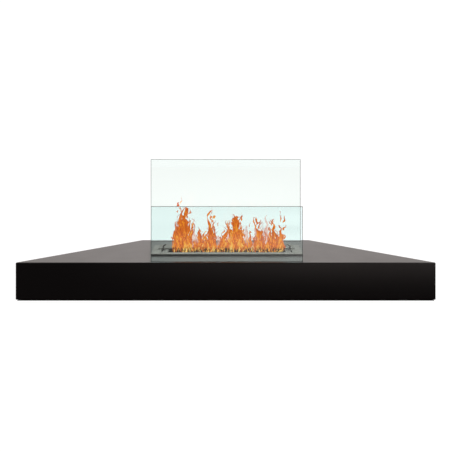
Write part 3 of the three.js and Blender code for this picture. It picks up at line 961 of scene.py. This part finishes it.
    def finish(self, name, bm, material):
        mesh = bpy.data.meshes.new(name)
        bm.to_mesh(mesh)
        bm.free()
        mesh.polygons.foreach_set("use_smooth", [True] * len(mesh.polygons))
        mesh.materials.append(material)
        piece = bpy.data.objects.new(name, mesh)
        bpy.context.scene.collection.objects.link(piece)
        piece.visible_glossy = False
        piece.visible_shadow = False
        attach(piece, "burner")
        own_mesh(piece)


# ---- Stage -------------------------------------------------------------------------------------

PHOTO_SIDE = 452.0  # the photograph's frame, in pixels
PHOTO_AXIS_X = 225.66  # where the camera's axis meets the frame, across
PHOTO_HORIZON_Y = 114.05  # and down
CAMERA_DISTANCE = 1.6445  # in front of the hearth's front face
CAMERA_ABOVE_TOP = 0.3891
LENS_MM = 50.0
SENSOR_MM = 36.0
WARM_WALL = (1.0, 0.93, 0.90, 1.0)  # the pale wall behind the object, as gloss shows it
AMBIENT = 0.55  # the world's light on the object, against a white of 1
BACKDROP = 1.065  # the world as the camera sees it, white even through a pane
FLOOR_GLOW = 0.86  # the floor's own white near the object, which its lit paint brings up to 1
FAR_GLOW = 0.92  # and far behind it, where the lamps don't reach
FLOOR_PAINT = 0.22


class FIREPLACE_OT_stage(bpy.types.Operator):
    """The camera of the photograph, a pale studio and its soft lamps"""

    bl_idname = "fireplace.stage"
    bl_label = "Stage"

    def execute(self, context):
        scene = context.scene
        scene.view_settings.view_transform = "Standard"
        self.camera(scene)
        self.world(scene)
        self.surfaces(scene)
        self.lamps(scene)
        return {"FINISHED"}

    def camera(self, scene):
        low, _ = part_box("hearth_casing")
        _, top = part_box("hearth_casing")
        data = bpy.data.cameras.new("photo_camera")
        data.lens, data.sensor_width = LENS_MM, SENSOR_MM
        half = PHOTO_SIDE / 2
        data.shift_x = (half - PHOTO_AXIS_X) / PHOTO_SIDE
        data.shift_y = (PHOTO_HORIZON_Y - half) / PHOTO_SIDE
        camera = bpy.data.objects.new("photo_camera", data)
        camera.location = (0, low.y - CAMERA_DISTANCE, top.z + CAMERA_ABOVE_TOP)
        camera.rotation_euler = (math.pi / 2, 0, 0)
        scene.collection.objects.link(camera)
        scene.camera = camera

    def ray_kinds(self, tree):
        """What the camera sees straight or through glass, and what gloss mirrors, each 0 or 1."""
        path = add_node(tree, "ShaderNodeLightPath")
        onward = add_node(
            tree,
            "ShaderNodeMath",
            {"operation": "MAXIMUM"},
            {0: path.outputs["Is Camera Ray"], 1: path.outputs["Is Transmission Ray"]},
        )
        bounces = add_node(
            tree,
            "ShaderNodeMath",
            {"operation": "ADD"},
            {0: path.outputs["Glossy Depth"], 1: path.outputs["Diffuse Depth"]},
        )
        seen = add_node(
            tree,
            "ShaderNodeMath",
            {"operation": "SUBTRACT", "use_clamp": True},
            {0: onward.outputs["Value"], 1: bounces.outputs["Value"]},
        )
        mirrored = add_node(
            tree,
            "ShaderNodeMath",
            {"operation": "SUBTRACT", "use_clamp": True},
            {0: path.outputs["Is Glossy Ray"], 1: seen.outputs["Value"]},
        )
        return seen.outputs["Value"], mirrored.outputs["Value"]

    def darker_to_the_front(self, tree, y, near, far, front, back):
        """A level that falls from the white behind the object to the dark side of the studio."""
        return add_node(
            tree,
            "ShaderNodeMapRange",
            {"From Min": near, "From Max": far, "To Min": front, "To Max": back},
            {"Value": y},
        ).outputs["Result"]

    def world(self, scene):
        """White to the camera, white behind the object and dark in front of it for gloss."""
        world = bpy.data.worlds.new("studio")
        world.use_nodes = True
        tree = world.node_tree
        tree.nodes.clear()
        direction = add_node(tree, "ShaderNodeTexCoord")
        split = add_node(
            tree, "ShaderNodeSeparateXYZ", links={"Vector": direction.outputs["Generated"]}
        )
        wall = self.darker_to_the_front(tree, split.outputs["Y"], -0.3, 0.4, 0.05, 0.98)
        window = self.darker_to_the_front(tree, split.outputs["X"], 0.45, 0.85, 0.0, 0.7)
        level = add_node(
            tree, "ShaderNodeMath", {"operation": "MAXIMUM"}, {0: wall, 1: window}
        ).outputs["Value"]
        seen, mirrored = self.ray_kinds(tree)
        unseen = add_node(
            tree,
            "ShaderNodeMix",
            {"data_type": "FLOAT", "A": AMBIENT},
            {"Factor": mirrored, "B": level},
        )
        strength = add_node(
            tree,
            "ShaderNodeMix",
            {"data_type": "FLOAT", "B": BACKDROP},
            {"Factor": seen, "A": unseen.outputs["Result"]},
        )
        tint = add_node(
            tree, "ShaderNodeMix", {"data_type": "RGBA", 6: WARM_WALL, 7: (1, 1, 1, 1)}, {0: seen}
        )
        background = add_node(
            tree, "ShaderNodeBackground", links={"Color": tint.outputs[2], "Strength": strength.outputs["Result"]}
        )
        add_node(tree, "ShaderNodeOutputWorld", links={"Surface": background.outputs["Background"]})
        scene.world = world

    def surfaces(self, scene):
        """A pale floor under the object: white to the camera but for the object's shadow."""
        material, tree = new_material("studio_floor")
        place = add_node(tree, "ShaderNodeTexCoord")
        split = add_node(
            tree, "ShaderNodeSeparateXYZ", links={"Vector": place.outputs["Object"]}
        )
        level = self.darker_to_the_front(tree, split.outputs["Y"], -0.15, 0.35, 0.04, 0.9)
        shown = self.darker_to_the_front(tree, split.outputs["Y"], 1.0, 3.0, FLOOR_GLOW, FAR_GLOW)
        seen, mirrored = self.ray_kinds(tree)
        # Painted light: to gloss alone, the floor also shows a bright patch from 0.4 to 1.15 m in front of the
        # object, brightest to the right, so that shiny faces mirror it.
        for axis, start, end in (("X", -0.5, 0.35), ("Y", -0.4, -0.55), ("Y", -1.15, -0.95)):
            share = self.darker_to_the_front(tree, split.outputs[axis], start, end, 0.0, 1.0)
            patch = share if axis == "X" else add_node(
                tree, "ShaderNodeMath", {"operation": "MULTIPLY"}, {0: patch, 1: share}
            ).outputs["Value"]
        level = add_node(
            tree, "ShaderNodeMath", {"operation": "MULTIPLY_ADD", 1: 1.0}, {0: patch, 2: level}
        ).outputs["Value"]
        strength = add_node(
            tree, "ShaderNodeMath", {"operation": "MULTIPLY"}, {0: seen, 1: shown}
        )
        glow = add_node(
            tree, "ShaderNodeEmission", links={"Strength": strength.outputs["Value"]}
        )
        paint = add_node(tree, "ShaderNodeBsdfDiffuse", {"Color": grey(FLOOR_PAINT)})
        lit = add_node(
            tree,
            "ShaderNodeAddShader",
            links={0: glow.outputs["Emission"], 1: paint.outputs["BSDF"]},
        )
        mirror = add_node(
            tree, "ShaderNodeEmission", {"Color": WARM_WALL}, {"Strength": level}
        )
        both = add_node(
            tree,
            "ShaderNodeMixShader",
            links={0: mirrored, 1: lit.outputs[0], 2: mirror.outputs[0]},
        )
        close_material(tree, both.outputs["Shader"])
        bm = bmesh.new()
        bmesh.ops.create_grid(bm, x_segments=1, y_segments=1, size=4.0)
        bmesh.ops.translate(bm, vec=(0, 0, CAD_BOX[0][2] - 0.5 * MM), verts=bm.verts)
        mesh = bpy.data.meshes.new("studio_floor")
        bm.to_mesh(mesh)
        bm.free()
        mesh.materials.append(material)
        floor = bpy.data.objects.new("studio_floor", mesh)
        scene.collection.objects.link(floor)

    def lamps(self, scene):
        self.lamp(scene, "key", (1.5, -1.1, 2.1), 1.6, 24)
        self.lamp(scene, "fill", (-1.6, -0.9, 1.7), 1.5, 10)
        self.lamp(scene, "rim", (0.0, 1.6, 1.9), 1.6, 14)

    def lamp(self, scene, name, place, size, power):
        data = bpy.data.lights.new(name, "AREA")
        data.shape, data.size, data.energy = "SQUARE", size, power
        lamp = bpy.data.objects.new(name, data)
        lamp.location = place
        aim = Vector((0, 0, 0.1)) - Vector(place)
        lamp.rotation_euler = aim.to_track_quat("-Z", "Y").to_euler()
        scene.collection.objects.link(lamp)


# ---- Panel and registration --------------------------------------------------------------------

OPERATORS = (
    FIREPLACE_OT_stage,
    FIREPLACE_OT_casing,
    FIREPLACE_OT_fixings,
    FIREPLACE_OT_panes,
    FIREPLACE_OT_burner,
    FIREPLACE_OT_shutter,
    FIREPLACE_OT_flames,
)


class FIREPLACE_PT_panel(bpy.types.Panel):
    bl_label = "Corner Fireplace"
    bl_idname = "FIREPLACE_PT_panel"
    bl_space_type = "VIEW_3D"
    bl_region_type = "UI"
    bl_category = "Fireplace"

    def draw(self, context):
        for operator in OPERATORS:
            self.layout.operator(operator.bl_idname)
        for group in (context.scene.fireplace_sizes, context.scene.fireplace_colours):
            for name in group.bl_rna.properties.keys():
                if name not in ("rna_type", "name"):
                    self.layout.prop(group, name)


CLASSES = (FireplaceSizes, FireplaceColours, *OPERATORS, FIREPLACE_PT_panel)


def register():
    for cls in CLASSES:
        bpy.utils.register_class(cls)
    bpy.types.Scene.fireplace_sizes = bpy.props.PointerProperty(type=FireplaceSizes)
    bpy.types.Scene.fireplace_colours = bpy.props.PointerProperty(type=FireplaceColours)


def unregister():
    del bpy.types.Scene.fireplace_colours
    del bpy.types.Scene.fireplace_sizes
    for cls in reversed(CLASSES):
        bpy.utils.unregister_class(cls)


def main():
    register()
    bpy.ops.fireplace.stage()
    bpy.ops.fireplace.casing()
    bpy.ops.fireplace.fixings()
    bpy.ops.fireplace.panes()
    bpy.ops.fireplace.burner()
    bpy.ops.fireplace.shutter()
    bpy.ops.fireplace.flames()


if __name__ == "__main__":
    main()
